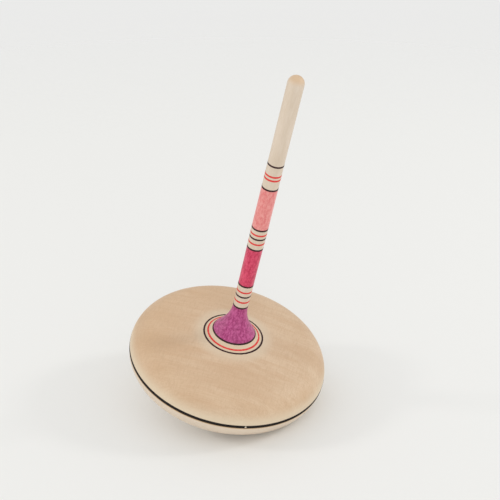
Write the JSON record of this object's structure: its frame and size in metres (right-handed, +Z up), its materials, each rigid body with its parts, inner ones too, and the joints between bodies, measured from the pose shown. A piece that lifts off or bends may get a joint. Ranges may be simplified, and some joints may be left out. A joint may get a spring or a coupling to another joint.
{
  "type": "spinning top",
  "caption": "Finger top: a lens-shaped wooden disc on a slim banded spindle that is twirled between finger and thumb.",
  "frame": {"origin": "the point that the top spins on, at the bottom of the spindle", "axes": "+Z up along the spin axis, towards the grip; the body is round about it"},
  "size_m": [0.056, 0.056, 0.1035],
  "materials": {
    "wood_disc": "satin",
    "wood_spindle": "satin",
    "burnt_line": "matt",
    "black_line": "satin",
    "red_line": "satin",
    "purple_stain": "satin",
    "magenta_stain": "satin",
    "pink_stain": "satin"
  },
  "bodies": {
    "root": {"disc": "wood_disc", "spindle": "wood_spindle", "rim_line": "burnt_line", "foot_black_rings": "black_line", "foot_red_ring": "red_line", "purple_flare": "purple_stain", "lower_black_lines": "black_line", "lower_red_lines": "red_line", "magenta_band": "magenta_stain", "middle_black_lines": "black_line", "middle_red_lines": "red_line", "pink_band": "pink_stain", "upper_black_lines": "black_line", "upper_red_lines": "red_line"}
  },
  "joints": []
}
